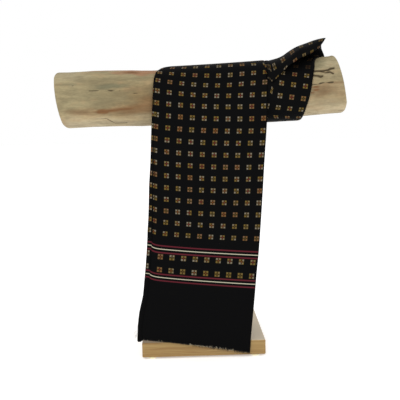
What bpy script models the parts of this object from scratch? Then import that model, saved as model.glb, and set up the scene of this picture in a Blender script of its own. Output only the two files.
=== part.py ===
"""Silk scarf wound on a log stand, at real size in metres, +Z up, X along the log.

The scarf is a long strip folded in half along its length, so every stretch has a
folded edge on its right and two loose edges on its left. It hangs down in front,
goes over the log, comes round beneath it to the right, runs up behind the hanging
front, stands up in a soft collar beside it and hangs down again at the back.
The log sits on a dowel in a square board with four small feet.
"""
from math import ceil, cos, pi, radians, sin, tan

import bmesh
import bpy

# ---- Stand, driving dimensions (metres and degrees) ----
BOARD_SIDE = 0.198
BOARD_THICK = 0.024
BOARD_X = -0.002
BOARD_EDGE = 0.0012
FOOT_RADIUS = 0.0067
FOOT_TREAD = 0.0058         # radius where a foot touches the floor
FOOT_TALL = 0.0025
FOOT_INSET_X = 0.016        # from the board's sides to a foot's centre
FOOT_INSET_Y = 0.008        # from its front and back
LOG_HALF = 0.2229           # half length, measured on its front
LOG_RADIUS = 0.0447         # at the middle
LOG_TAPER = 0.0031          # growth of the radius for each metre to the right
LOG_RISE = 0.0388           # slope of the axis at the middle
LOG_BOW = 0.089             # upward bow of the axis, per metre
AXIS_Z = 0.4173             # height of the axis at the middle
SAW_ANGLE = radians(7)      # both ends are sawn this far off square
SAW_ZONE = 0.016            # the slanted ends run out this far from the middle of a cut
RIM_ROUND = 0.004
LOG_STEPS = 14              # rings between the saw cuts
POST_RADIUS = 0.014
POST_X = -0.002
POST_IN_LOG = 0.020
POST_IN_BOARD = 0.012
CUT_PAST = 0.02             # how far a cutter runs out of the wood

# ---- Scarf, driving dimensions ----
FRONT_LEFTMOST = -0.108     # the hanging front's reach along the log
FRONT_RIGHTMOST = 0.103
LAYER_STEP = 0.008          # the back layer shows this far past the front one
GAP = 0.0003                # between touching pieces
INNER_LOW = 0.0006          # underside of the inner turn above the wood
INNER_WALL = 0.0021
OUTER_LOW = INNER_LOW + INNER_WALL + GAP
OUTER_WALL = 0.0022
TAIL_WALL = 0.0026
FOLD_ROUND = 0.4            # bulge of the folded edge, as a share of the wall
FRINGE_LONG = 0.004
FRINGE_WALL = 0.0009
CLEAR_OF_BOARD = 0.0007     # between the hanging front and the board's face

# The board's face lies just behind the hanging front; the whole is centred on Y = 0.
BOARD_FACE = LOG_RADIUS + LOG_TAPER * FRONT_LEFTMOST + OUTER_LOW - CLEAR_OF_BOARD
FRONT_REACH = LOG_RADIUS + LOG_TAPER * FRONT_RIGHTMOST + OUTER_LOW + OUTER_WALL
AXIS_Y = (FRONT_REACH - (BOARD_SIDE - BOARD_FACE)) / 2
BOARD_Y = AXIS_Y - BOARD_FACE + BOARD_SIDE / 2
BOARD_LOW = FOOT_TALL + GAP
BOARD_TOP = BOARD_LOW + BOARD_THICK

ACROSS = 6                  # steps across one stretch of cloth
ROUND_STEP = 8              # largest step round the log, degrees
LOG_SIDES = 48
COLLAR_UNDER = 9            # steps along the underside of the collar

# Front on the log: angle round the log (0 front, 90 top, 180 back), left and right
# edge, and how far the under side stands off the wood.
FRONT_ON_LOG = (
    # angle, left, right, low
    (0, -0.0755, 0.1020, OUTER_LOW),
    (15, -0.0740, 0.1023, OUTER_LOW),
    (30, -0.0715, 0.1027, OUTER_LOW),
    (45, -0.0690, 0.1030, OUTER_LOW),
    (60, -0.0650, 0.1030, OUTER_LOW),
    (75, -0.0600, 0.1030, OUTER_LOW),
    (88, -0.0530, 0.1030, OUTER_LOW),
)
# Front below the log: height and place of the left and of the right edge.
FRONT_HANGING = (
    # left x, left z, right x, right z
    (-0.0781, 0.372, 0.1009, 0.368),
    (-0.0794, 0.336, 0.0984, 0.331),
    (-0.0814, 0.299, 0.0958, 0.293),
    (-0.0840, 0.268, 0.0933, 0.260),
    (-0.0862, 0.232, 0.0900, 0.222),
    (-0.0890, 0.195, 0.0868, 0.184),
    (-0.0934, 0.147, 0.0826, 0.134),
    (-0.0983, 0.108, 0.0794, 0.094),
    (-0.1030, 0.080, 0.0765, 0.064),
    (-0.1050, 0.055, 0.0740, 0.036),
    (-0.0986, 0.033, 0.0714, 0.0075),
)
# First turn: down the back, beneath the log right of the dowel, to the front.
TURN = (
    # angle, left, right, low
    (88.5, -0.0528, 0.1031, OUTER_LOW),
    (97, -0.0510, 0.1045, 0.0020),
    (107, -0.0480, 0.1060, INNER_LOW),
    (120, -0.0440, 0.1085, INNER_LOW),
    (135, -0.0380, 0.1120, INNER_LOW),
    (155, -0.0280, 0.1180, INNER_LOW),
    (175, -0.0170, 0.1250, INNER_LOW),
    (195, -0.0060, 0.1320, INNER_LOW),
    (215, 0.0050, 0.1400, INNER_LOW),
    (235, 0.0150, 0.1470, INNER_LOW),
    (255, 0.0190, 0.1530, INNER_LOW),
    (275, 0.0200, 0.1575, INNER_LOW),
    (294, 0.0200, 0.1600, INNER_LOW),
)
# Turn at the right: up the front behind the hanging front, then clear of it.
WRAP = (
    # angle, left, right, low
    (294.5, 0.0200, 0.1601, INNER_LOW),
    (315, 0.0190, 0.1623, INNER_LOW),
    (335, 0.0200, 0.1645, INNER_LOW),
    (355, 0.0240, 0.1668, INNER_LOW),
    (373, 0.0340, 0.1695, INNER_LOW),
    (390, 0.0520, 0.1725, INNER_LOW),
    (405, 0.0740, 0.1757, INNER_LOW),
    (418, 0.0950, 0.1790, INNER_LOW),
    (430, 0.1060, 0.1830, INNER_LOW),
    (442, 0.1075, 0.1880, INNER_LOW),
)
# Collar: a leaf-shaped roll that rises to the right. Each section is given round the
# log at the lip, the ridge and the back, with its height over the wood there.
COLLAR = (
    # x, lip angle, lip height, ridge angle, ridge height, back angle, floor height
    (0.1045, 22, 0.0052, 60, 0.0060, 84, 0.0030),
    (0.1130, 24, 0.0064, 66, 0.0066, 90, 0.0030),
    (0.1220, 33, 0.0074, 76, 0.0088, 97, 0.0030),
    (0.1326, 44, 0.0090, 84, 0.0120, 101, 0.0030),
    (0.1440, 53, 0.0120, 88, 0.0175, 103, 0.0030),
    (0.1563, 63, 0.0150, 90, 0.0225, 104, 0.0032),
    (0.1740, 71, 0.0180, 91, 0.0270, 104, 0.0050),
    (0.1850, 78, 0.0225, 92, 0.0295, 103, 0.0110),
    (0.1930, 83, 0.0265, 93, 0.0306, 101, 0.0190),
    (0.1995, 88, 0.0295, 92, 0.0307, 96, 0.0265),
)
# Tail on the log: behind the collar and down the back, outside the first turn.
TAIL_ON_LOG = (
    # angle, left, right, low
    (106, 0.1080, 0.1990, OUTER_LOW),
    (120, 0.1000, 0.1935, OUTER_LOW),
    (134, 0.0660, 0.1820, OUTER_LOW),
    (148, 0.0350, 0.1660, OUTER_LOW),
    (164, 0.0000, 0.1470, OUTER_LOW),
    (180, -0.0300, 0.1270, OUTER_LOW),
)
# Tail below: it narrows into soft folds. Depth is the folds' reach out from the back.
TAIL_HANGING = (
    # z, left, right, fold depth
    (0.402, -0.0420, 0.1120, 0.0010),
    (0.385, -0.0500, 0.1000, 0.0025),
    (0.362, -0.0550, 0.0925, 0.0045),
    (0.330, -0.0580, 0.0890, 0.0070),
    (0.280, -0.0590, 0.0880, 0.0090),
    (0.220, -0.0600, 0.0870, 0.0100),
    (0.150, -0.0620, 0.0850, 0.0105),
    (0.078, -0.0650, 0.0820, 0.0110),
)
TAIL_FOLDS = 3.5            # number of folds across the tail
TAIL_ACROSS = 34


def axis_height(x):
    """Height of the bowed log's axis."""
    return AXIS_Z + LOG_RISE * x + LOG_BOW * x * x


def log_radius(x):
    """Radius of the log, which grows a little to the right."""
    return LOG_RADIUS + LOG_TAPER * x


def on_log(x, angle, height):
    """Point at an angle round the log (degrees, 0 front, 90 top), a height off the wood."""
    reach = log_radius(x) + height
    turn = radians(angle)
    return (x, AXIS_Y - reach * cos(turn), axis_height(x) + reach * sin(turn))


def blend(start, end, part):
    """Value a part of the way from start to end."""
    return start + (end - start) * part


def clear_scene():
    """Remove every object, so the part stands alone."""
    for item in list(bpy.data.objects):
        bpy.data.objects.remove(item, do_unlink=True)


def new_collection(name):
    """Collection linked to the scene."""
    group = bpy.data.collections.new(name)
    bpy.context.scene.collection.children.link(group)
    return group


def material(name, colour, roughness):
    """Principled material of one colour."""
    made = bpy.data.materials.new(name)
    made.use_nodes = True
    shader = made.node_tree.nodes["Principled BSDF"]
    shader.inputs["Base Color"].default_value = (*colour, 1.0)
    shader.inputs["Roughness"].default_value = roughness
    shader.inputs["Metallic"].default_value = 0.0
    return made


def place(mesh_maker, name, surface, group):
    """Object from a bmesh, in its collection, shaded smooth with sharp edges kept."""
    bmesh.ops.recalc_face_normals(mesh_maker, faces=mesh_maker.faces)
    mesh = bpy.data.meshes.new(name)
    mesh_maker.to_mesh(mesh)
    mesh_maker.free()
    mesh.materials.append(surface)
    mesh.shade_smooth()
    mesh.set_sharp_from_angle(angle=radians(40))
    item = bpy.data.objects.new(name, mesh)
    group.objects.link(item)
    return item


def loft(name, rings, surface, group):
    """Closed solid through rings of equal count, capped at both ends."""
    maker = bmesh.new()
    rows = [[maker.verts.new(point) for point in ring] for ring in rings]
    count = len(rows[0])
    for lower, upper in zip(rows, rows[1:]):
        for i in range(count):
            j = (i + 1) % count
            maker.faces.new((lower[i], lower[j], upper[j], upper[i]))
    maker.faces.new(rows[0])
    maker.faces.new(rows[-1])
    return place(maker, name, surface, group)


# ---- The stand ----
def log_ring(x, shrink, shear):
    """Ring of the log at x; shear leans it into the plane of the saw cut."""
    ring = []
    for i in range(LOG_SIDES):
        turn = 2 * pi * i / LOG_SIDES
        reach = log_radius(x) - shrink
        rise = reach * sin(turn)
        lean = -tan(SAW_ANGLE) * rise * shear
        ring.append((x + lean, AXIS_Y - reach * cos(turn), axis_height(x) + rise))
    return ring


def make_log(surface, group, cutters):
    """Bowed, tapered log with slanted saw cuts and a blind hole for the dowel."""
    straight = LOG_HALF - SAW_ZONE
    rounding = [(RIM_ROUND * (1 - cos(a)), RIM_ROUND * (1 - sin(a)))
                for a in (0, pi / 6, pi / 3, pi / 2)]
    rings = [log_ring(-LOG_HALF + inset, shrink, 1.0) for inset, shrink in rounding]
    for i in range(LOG_STEPS + 1):
        rings.append(log_ring(blend(-straight, straight, i / LOG_STEPS), 0.0, 0.0))
    rings += [log_ring(LOG_HALF - inset, shrink, 1.0) for inset, shrink in reversed(rounding)]
    log = loft("log", rings, surface, group)
    underside = axis_height(POST_X) - log_radius(POST_X)
    bore = cylinder("log_bore", POST_RADIUS + GAP, underside - CUT_PAST,
                    underside + POST_IN_LOG, (POST_X, AXIS_Y), surface, cutters)
    cut_with(log, bore)
    return log


def cylinder(name, radius, low, high, centre, surface, group):
    """Upright cylinder between two heights."""
    maker = bmesh.new()
    bmesh.ops.create_cone(maker, cap_ends=True, segments=32, radius1=radius, radius2=radius,
                          depth=high - low)
    item = place(maker, name, surface, group)
    item.location = (centre[0], centre[1], (low + high) / 2)
    return item


def cut_with(item, cutter):
    """Boolean cut that stays on the object; the cutter is hidden."""
    cutter.hide_render = True
    cutter.display_type = "WIRE"
    cut = item.modifiers.new("cut", "BOOLEAN")
    cut.operation = "DIFFERENCE"
    cut.solver = "EXACT"
    cut.object = cutter


def make_board(surface, group, cutters):
    """Square board with eased edges and a blind hole for the dowel."""
    maker = bmesh.new()
    bmesh.ops.create_cube(maker, size=1.0)
    bmesh.ops.scale(maker, vec=(BOARD_SIDE, BOARD_SIDE, BOARD_THICK), verts=maker.verts)
    board = place(maker, "board", surface, group)
    board.location = (BOARD_X, BOARD_Y, BOARD_LOW + BOARD_THICK / 2)
    edge = board.modifiers.new("eased_edges", "BEVEL")
    edge.width = BOARD_EDGE
    edge.segments = 2
    bore = cylinder("board_bore", POST_RADIUS + GAP, BOARD_TOP - POST_IN_BOARD,
                    BOARD_TOP + CUT_PAST, (POST_X, AXIS_Y), surface, cutters)
    cut_with(board, bore)
    return board


def make_post(surface, group):
    """Dowel between the board's hole and the log's."""
    low = BOARD_TOP - POST_IN_BOARD + GAP
    high = axis_height(POST_X) - log_radius(POST_X) + POST_IN_LOG - GAP
    return cylinder("post", POST_RADIUS, low, high, (POST_X, AXIS_Y), surface, group)


def make_feet(surface, group):
    """Four small round pads under the board's corners, narrower at the floor."""
    reach_x = BOARD_SIDE / 2 - FOOT_INSET_X
    reach_y = BOARD_SIDE / 2 - FOOT_INSET_Y
    for side, x_sign in (("left", -1), ("right", 1)):
        for end, y_sign in (("front", -1), ("back", 1)):
            maker = bmesh.new()
            bmesh.ops.create_cone(maker, cap_ends=True, segments=24, radius1=FOOT_TREAD,
                                  radius2=FOOT_RADIUS, depth=FOOT_TALL)
            foot = place(maker, f"foot_{end}_{side}", surface, group)
            foot.location = (BOARD_X + x_sign * reach_x, BOARD_Y + y_sign * reach_y,
                             FOOT_TALL / 2)


# ---- The scarf ----
def wall_ring(point, left, right, low, wall, across=ACROSS, step=LAYER_STEP):
    """Ring round one section of folded cloth.

    point(x, height) gives a place across the cloth. The under side runs from the fold at
    the right to the loose edges at the left; the upper layer starts a step further in.
    """
    middle = low + wall / 2
    top = low + wall
    inner_left = left + step
    ring = [point(blend(right, left, i / across), low) for i in range(across + 1)]
    ring.append(point(left, middle))
    ring.append(point(inner_left, middle))
    ring += [point(blend(inner_left, right, i / across), top) for i in range(across + 1)]
    ring.append(point(right + wall * FOLD_ROUND, middle))
    return ring


def finer(rows, largest):
    """Rows with more put in between, so that their first column grows by small steps."""
    full = [rows[0]]
    for start, end in zip(rows, rows[1:]):
        steps = ceil((end[0] - start[0]) / largest)
        for i in range(1, steps + 1):
            full.append(tuple(blend(a, b, i / steps) for a, b in zip(start, end)))
    return full


def rings_on_log(rows, wall, across=ACROSS):
    """Rings of a stretch that lies round the log."""
    rings = []
    for angle, left, right, low in finer(rows, ROUND_STEP):
        def point(x, height, angle=angle):
            return on_log(x, angle, height)
        rings.append(wall_ring(point, left, right, low, wall, across))
    return rings


def hanging_front_ring(left, left_z, right, right_z, low, wall):
    """Ring of the hanging front, whose rows slope down to the right."""
    def point(x, height):
        z = blend(left_z, right_z, (x - left) / (right - left))
        return (x, AXIS_Y - log_radius(x) - height, z)
    return wall_ring(point, left, right, low, wall)


def make_front(surface, group):
    """Hanging front, from its lower edge up to the top of the log."""
    rings = [hanging_front_ring(*row, OUTER_LOW, OUTER_WALL) for row in reversed(FRONT_HANGING)]
    rings += rings_on_log(FRONT_ON_LOG, OUTER_WALL)
    loft("scarf_front", rings, surface, group)


def make_turn(surface, group):
    """First turn, down the back and beneath the log."""
    loft("scarf_turn", rings_on_log(TURN, INNER_WALL), surface, group)


def make_wrap(surface, group):
    """Turn at the right that runs up behind the hanging front."""
    loft("scarf_wrap", rings_on_log(WRAP, INNER_WALL), surface, group)


def collar_outline(lip, lip_up, ridge, ridge_up, back, floor):
    """Angles and heights round one collar section: over the roll, then back beneath it."""
    hollow = max(floor, lip_up * 0.55)
    over = [
        (lip, lip_up),
        (blend(lip, ridge, 0.35), blend(lip_up, ridge_up, 0.62)),
        (blend(lip, ridge, 0.72), blend(lip_up, ridge_up, 0.93)),
        (ridge, ridge_up),
        (blend(ridge, back, 0.55), blend(ridge_up, floor, 0.25)),
        (back, blend(ridge_up, floor, 0.62)),
    ]
    for i in range(COLLAR_UNDER + 1):
        share = i / COLLAR_UNDER
        over.append((blend(back, lip, share * 0.99), blend(floor, hollow, share ** 2)))
    return over


def make_collar(surface, group):
    """Leaf-shaped roll that stands on the log beside the hanging front."""
    rings = []
    for x, *section in COLLAR:
        rings.append([on_log(x, angle, up) for angle, up in collar_outline(*section)])
    loft("scarf_collar", rings, surface, group)


def tail_fold(share, depth):
    """Reach of the tail's folds at a share of its width from the left."""
    wave = 0.5 - 0.5 * cos(2 * pi * TAIL_FOLDS * share)
    swell = 1 + 0.25 * sin(5.1 * share + 0.6)
    return depth * wave * swell


def hanging_tail_ring(z, left, right, depth, wall):
    """Ring of the tail where it hangs free behind the log."""
    def point(x, height):
        share = (x - left) / (right - left)
        fold = tail_fold(share, depth)
        return (x, AXIS_Y + log_radius(x) + height + fold, z)
    return wall_ring(point, left, right, OUTER_LOW, wall, TAIL_ACROSS)


def make_tail(surface, group):
    """Tail behind the log, from the collar down to its hanging end."""
    rings = rings_on_log(TAIL_ON_LOG, TAIL_WALL, TAIL_ACROSS)
    rings += [hanging_tail_ring(*row, TAIL_WALL) for row in TAIL_HANGING]
    loft("scarf_tail", rings, surface, group)


def make_front_fringe(surface, group):
    """Short fringe under the front's lower edge."""
    left, left_z, right, right_z = FRONT_HANGING[-1]
    low = OUTER_LOW + (OUTER_WALL - FRINGE_WALL) / 2
    rings = [hanging_front_ring(left, left_z - drop, right, right_z - drop, low, FRINGE_WALL)
             for drop in (GAP, FRINGE_LONG)]
    loft("fringe_front", rings, surface, group)


def make_tail_fringe(surface, group):
    """Short fringe under the tail's end."""
    z, left, right, depth = TAIL_HANGING[-1]

    def ring(drop):
        def point(x, height):
            share = (x - left) / (right - left)
            shift = (TAIL_WALL - FRINGE_WALL) / 2 + tail_fold(share, depth)
            return (x, AXIS_Y + log_radius(x) + height + shift, z - drop)
        return wall_ring(point, left, right, OUTER_LOW, FRINGE_WALL, TAIL_ACROSS)
    loft("fringe_tail", [ring(GAP), ring(FRINGE_LONG)], surface, group)


def main():
    """Build the whole part."""
    clear_scene()
    group = new_collection("silk_scarf_on_log_stand")
    cutters = new_collection("cutters")
    silk = material("silk", (0.0056, 0.0056, 0.0056), 0.6)
    thread = material("thread", (0.30, 0.27, 0.20), 0.8)
    log_wood = material("log_wood", (0.37, 0.28, 0.16), 0.7)
    board_wood = material("board_wood", (0.42, 0.33, 0.22), 0.55)
    rubber = material("rubber", (0.55, 0.42, 0.22), 0.5)
    make_log(log_wood, group, cutters)
    make_post(board_wood, group)
    make_board(board_wood, group, cutters)
    make_feet(rubber, group)
    make_front(silk, group)
    make_turn(silk, group)
    make_wrap(silk, group)
    make_collar(silk, group)
    make_tail(silk, group)
    make_front_fringe(thread, group)
    make_tail_fringe(thread, group)


main()
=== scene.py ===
from functools import partialmethod
from math import cos, pi, radians, sin, tan

import bpy
import numpy as np
from mathutils import Matrix, Vector, noise


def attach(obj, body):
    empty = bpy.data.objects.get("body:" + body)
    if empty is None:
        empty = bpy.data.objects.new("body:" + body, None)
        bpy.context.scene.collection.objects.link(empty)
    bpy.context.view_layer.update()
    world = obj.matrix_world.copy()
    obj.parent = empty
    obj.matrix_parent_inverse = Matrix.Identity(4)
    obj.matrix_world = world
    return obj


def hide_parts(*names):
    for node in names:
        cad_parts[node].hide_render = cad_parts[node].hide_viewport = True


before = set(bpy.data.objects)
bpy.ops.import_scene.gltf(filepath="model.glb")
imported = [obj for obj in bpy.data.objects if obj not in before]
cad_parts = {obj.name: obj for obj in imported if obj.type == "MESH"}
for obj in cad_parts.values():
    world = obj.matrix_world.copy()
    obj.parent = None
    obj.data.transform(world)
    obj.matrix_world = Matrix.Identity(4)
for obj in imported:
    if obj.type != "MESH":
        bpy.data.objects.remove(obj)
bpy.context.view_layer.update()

MM = 0.001

# ---- Places shared with the CAD model (metres, degrees) ----
AXIS_Y = -0.050558
AXIS_Z = 0.4173
LOG_RISE = 0.0388
LOG_BOW = 0.089
LOG_RADIUS = 0.0447
LOG_TAPER = 0.0031
LOG_HALF = 0.2229
SAW_ANGLE = radians(7)
SAW_ZONE = 0.016
RIM_ROUND = 0.004

# ---- The cloth ----
PITCH = 18.3                # motif spacing, mm
FIRST_ROW = 181.3           # lowest row of the field above the cut end, mm
HALF_MOTIF = 3.5
HALF_IN_BORDER = 3.9
CREAM_LINES = (110, 155.5)
LINE_STEP = 5.35            # from a cream line to the red ones beside it
BORDER_ROWS = (122.6, 143.7)
BORDER_PITCH = 18.5
FIELD_COLUMN = 6            # first motif column, mm from the fold
BORDER_COLUMN = 7.7
PLY_APART = 0.00055         # each layer from the middle of the folded cloth
FOLD_OPENS = 3              # the layers part over this much beside the fold, mm
CLOTH_THICK = 0.0004
COLUMN_STEP = 3             # mesh columns, mm
ROW_STEP = 4.2              # mesh rows, mm
COLLAR_STEP = 2.4
FULL_WIDE = 179             # folded width, mm
SPREAD_WIDE = 193           # reach of the stations where the back layer swings out, mm

WIND_RADIUS = 0.05          # distance round the log is counted on this radius
ONCE_ROUND = 2 * pi * WIND_RADIUS
HANG_BEHIND = 1.5 * ONCE_ROUND
FRONT_UP = 0.0041           # middle of the folded cloth above the wood
FRONT_UP_ON_TOP = 0.0026
INNER_UP = 0.0017
TAIL_UP = 0.0043


def axis_height(x):
    """Height of the bowed log's axis."""
    return AXIS_Z + LOG_RISE * x + LOG_BOW * x * x


def log_radius(x):
    """Radius of the log, which grows a little to the right."""
    return LOG_RADIUS + LOG_TAPER * x


def place(x, wind, up):
    """World places on the winding path.

    wind is the distance round the log from its front line: below zero the cloth hangs
    in front, above HANG_BEHIND it hangs behind. up is the height off the wood.
    """
    reach = log_radius(x) + up
    turn = np.clip(wind, 0, HANG_BEHIND) / WIND_RADIUS
    drop = np.minimum(wind, 0) - np.maximum(wind - HANG_BEHIND, 0)
    y = AXIS_Y - reach * np.cos(turn)
    z = axis_height(x) + reach * np.sin(turn) + drop
    return np.stack([x, y, z], axis=-1)


def curve(knots, values, at):
    """Smooth curve through values at knots."""
    knots, values, at = (np.asarray(part, float) for part in (knots, values, at))
    shape = (-1,) + (1,) * (values.ndim - 1)
    gaps = np.diff(knots).reshape(shape)
    slopes = np.diff(values, axis=0) / gaps
    before = gaps[:-1]
    after = gaps[1:]
    inner = (slopes[:-1] * after + slopes[1:] * before) / (before + after)
    tangents = np.concatenate([slopes[:1], inner, slopes[-1:]])
    i = np.clip(np.searchsorted(knots, at, side="right") - 1, 0, len(gaps) - 1)
    gap = gaps[i]
    t = np.clip((at - knots[i]).reshape(shape) / gap, 0, 1)
    return (values[i] * (1 + 2 * t) * (1 - t) ** 2 + tangents[i] * gap * t * (1 - t) ** 2
            + values[i + 1] * t * t * (3 - 2 * t) + tangents[i + 1] * gap * t * t * (t - 1))


# ---- Key rows of the strip, from the front's cut end to the tail's, in mm ----
# Hanging front. Rows are given by their distance from the log's front line (below zero they
# hang), at the left edge, the middle and the fold.
FRONT_ROWS = (
    # along, fold x, scale, back layer's left x, strip shown, left, middle, right, fold column
    (0, 71.3, 0.9766, -107.4, 7, -381, -395, -413.6, 0),
    (20, 72.8, 0.977, -107.2, 7.5, -361.5, -375.6, -393.4, 0),
    (45, 75.2, 0.978, -103.9, 8, -337.5, -351, -367.2, 0),
    (75, 78.3, 0.979, -97, 8, -310, -322.3, -337, 0),
    (110, 81.6, 0.98, -93, 7.8, -277, -290.2, -302.2, 0),
    (122.6, 82.7, 0.98, -91.6, 7.8, -265, -277.8, -289.5, 0),
    (143.7, 85.1, 0.983, -89.6, 7.6, -245, -256.3, -267.4, 0),
    (155.5, 86.4, 0.98, -88.6, 7.4, -232.5, -244.7, -255.8, 0),
    (181.3, 88.6, 0.977, -87, 8.2, -207.5, -219.7, -229.5, 0.8),
    (254.5, 94.1, 0.9872, -82.5, 6.3, -135, -147.1, -154, 0.8),
    (291.1, 96.5, 0.9945, -79.3, 5.2, -97.8, -110.2, -116.8, 0.5),
    (327.7, 99.2, 1, -77.3, 4.2, -61.5, -73.4, -79.5, 0.4),
    (364.3, 101.7, 0.997, -75, 3.2, -24.8, -36.5, -42, 0.6),
    (382.6, 102.6, 0.9927, -74, 2, -7.2, -18.3, -23.2, -0.3),
    (400.9, 102.9, 0.99, -72.6, 1.7, 11.8, -1.8, -5.5, 0.3),
    (419.2, 103, 0.993, -71.2, 1.7, 30.7, 14.5, 13.4, 2),
    (437.5, 103, 0.985, -68, 2, 48.5, 31.6, 31.1, 3.7),
    (455.8, 103.4, 0.988, -60.8, 2.5, 60.6, 56, 51.2, 5.5),
)
# Rise of the rows at the front layer's left edge, mm, at places along the strip
EDGE_RISE = ((0, 0), (60, 1), (110, 3.2), (155.5, 3), (200, 1.6), (400, 0.6), (500, 0))
EDGE_RISE_REACH = 4.5
# Rise of the rows near the fold on the log's front, mm, at places along the strip
FOLD_RISE = ((380, 0), (401, 0.6), (419, 1.4), (437.5, 1.6), (455.8, 1.6), (483, 0))
FOLD_RISE_AT = 32
FOLD_RISE_HALF = 48
OVER_TOP = (380, 450)       # the front's cloth settles on the log between these, mm
# First turn: down the back and beneath the log.
TURN_ROWS = (
    # along, angle, left x, right x, up, sag under the log beside the fold
    (483, 88.5, -50, 103.3, 2.5, 0),
    (491, 97, -50, 104.5, 2.1, 0),
    (500, 107, -48, 106, 1.7, 0),
    (524, 135, -38, 112, 1.7, 0),
    (542, 155, -28, 118, 1.7, 0),
    (560, 175, -17, 125, 1.7, 0),
    (578, 195, -6, 132, 1.7, 0),
    (597, 215, 5, 140, 1.9, 0),
    (616, 235, 15, 149, 2.4, 0.8),
    (634, 255, 19, 154.6, 3.2, 1.6),
    (650, 274, 20, 158, 3.6, 2.1),
    (662, 287, 20, 159.6, 4, 2.2),
)
# Stretch at the right, up the front. The row is placed by its second motif column.
WRAP_ROWS = (
    # along, distance at that column, fold x, x of the fourth column, its rise and squeeze,
    # left x, up, edge turned under
    (675.4, -49.5, 161.2, 100, 0, 0.9, 20, 4.8, 3.2),
    (693.7, -31.8, 163.8, 103, 0, 0.8, 20, 2.6, 2.8),
    (712, -13.1, 167.4, 109.8, 6.2, 0.3, 20, 1.7, 1),
    (730.3, 5.6, 171, 112.8, 8.6, 0.3, 30, 1.7, 0),
    (748.6, 21.5, 173.6, 114, 10, 0.3, 52, 1.7, 0),
    (766.9, 36.4, 177, 114.5, 9, 0.4, 78, 1.7, 0),
)
WRAP_FOLD = -3.7            # cloth's own fold line, mm, under the folded edge there
WRAP_LEAN = 0.21            # rows rise this much to the left
LEAN_REACH = 50             # of that rise past the second column, mm
FLAT_PAST_THIRD = 5         # mm
PAST_FOURTH = (12, 9)       # next place past the fourth column: mm across the strip, mm in x
MOTIF_MARGIN = 0.8
SECOND_COLUMN = 28          # distance of the motif columns from the folded edge
THIRD_COLUMN = 46.3
FOURTH_COLUMN = 64.6
# Collar, each row from the folded edge at the right to the gathers at the left.
COLLAR_ROWS = (
    # along, fold column, ((x, angle, up), ...)
    (785.2, -3.5, (
        (182, 64, 1.7), (165, 62, 1.7), (145, 60, 1.7), (125, 52, 1.7), (114, 44, 1.7),
        (100, 44, 1.4), (85, 46, 1.4))),
    (803, -6, (
        (201.5, 100, 1.6), (188, 95, 1.7), (170, 91, 1.7), (147, 84, 1.7), (127, 70, 1.7),
        (114, 56, 1.7), (100, 52, 1.4), (90, 52, 1.4))),
    (812, -13, (
        (196, 92, 12), (182, 86, 8.6), (168, 78, 7.6), (148, 66, 7), (128, 51, 6.6),
        (114, 35, 4), (104.6, 35, 1.8), (98, 40, 1.4))),
    (821.8, -19, (
        (190, 75, 18.2), (173, 58, 16.6), (155.5, 45, 19.6), (141.5, 37, 19), (131.5, 34, 12.2),
        (113.4, 17, 6), (106.5, 20, 3.6), (104.4, 24, 2))),
    (829, -19, (
        (193.4, 76, 22.5), (175, 64, 22), (157.4, 54, 24), (143, 46, 21), (132, 40, 14.6),
        (114.6, 24, 7.4), (107, 28, 4.6), (104.6, 33, 3))),
    (840.1, -19, (
        (197.4, 80, 26.4), (178, 75, 25), (160.5, 68, 23.4), (146, 60, 19.4), (130, 52, 12),
        (115.4, 42, 7), (107, 45, 4.4), (104.8, 48, 3.4))),
    (851, -19, (
        (201.3, 88, 28.8), (186.1, 88, 27), (167, 88, 22.4), (147.9, 88, 15.1),
        (138.3, 87, 10.1), (128.8, 84, 5), (117, 80, 2.4), (108, 76, 2.2), (105, 76, 2))),
    (863, -19, (
        (196.6, 97, 21.5), (181, 98, 19), (163, 99, 15.5), (145, 100, 10.6), (125, 98, 4.4),
        (112, 94, 1.7), (106.5, 92, 1.7), (105.2, 91, 1.7))),
    (875, -19, (
        (198, 102.5, 11), (182, 103, 8.6), (164, 104, 6), (145, 104, 4.6), (125, 103, 3.4),
        (112, 101, 1.9), (106, 99, 1.8))),
)
# Tail on the log and then hanging behind it.
TAIL_ON_LOG = (
    # along, angle, left x, right x, fold depth, pleat depth
    (886, 106, 121, 199, 0, 1.2),
    (899, 120, 100, 193.5, 0.2, 3),
    (914, 134, 66, 182, 0.4, 2.4),
    (929, 148, 35, 166, 0.6, 1.6),
    (945, 164, 0, 147, 0.8, 1),
    (961, 180, -30, 127, 1, 0.6),
)
TAIL_HANGING = (
    # along, height, left x, right x, fold depth, pleat depth
    (977, 402, -42, 112, 1, 0.4),
    (994, 385, -50, 100, 2.5, 0.3),
    (1017, 362, -55, 92.5, 4.5, 0.2),
    (1048, 330, -58, 89, 7, 0),
    (1097, 280, -59, 88, 9, 0),
    (1156, 220, -60, 87, 10, 0),
    (1225, 150, -62, 85, 10.5, 0),
    (1295.9, 78, -65, 82, 11, 0),
)
TAIL_FOLDS = 3.5
TAIL_PLEATS = 8
EDGES = (171, 179)          # of the front and back layers, mm from the fold
TAIL_FOLD_LINE = -6
COLLAR_FROM = 770
COLLAR_TO = 890
STRIP_END = TAIL_HANGING[-1][0]

LENGTHS = np.arange(0, SPREAD_WIDE, COLUMN_STEP / 2)      # stations across, mm


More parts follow.
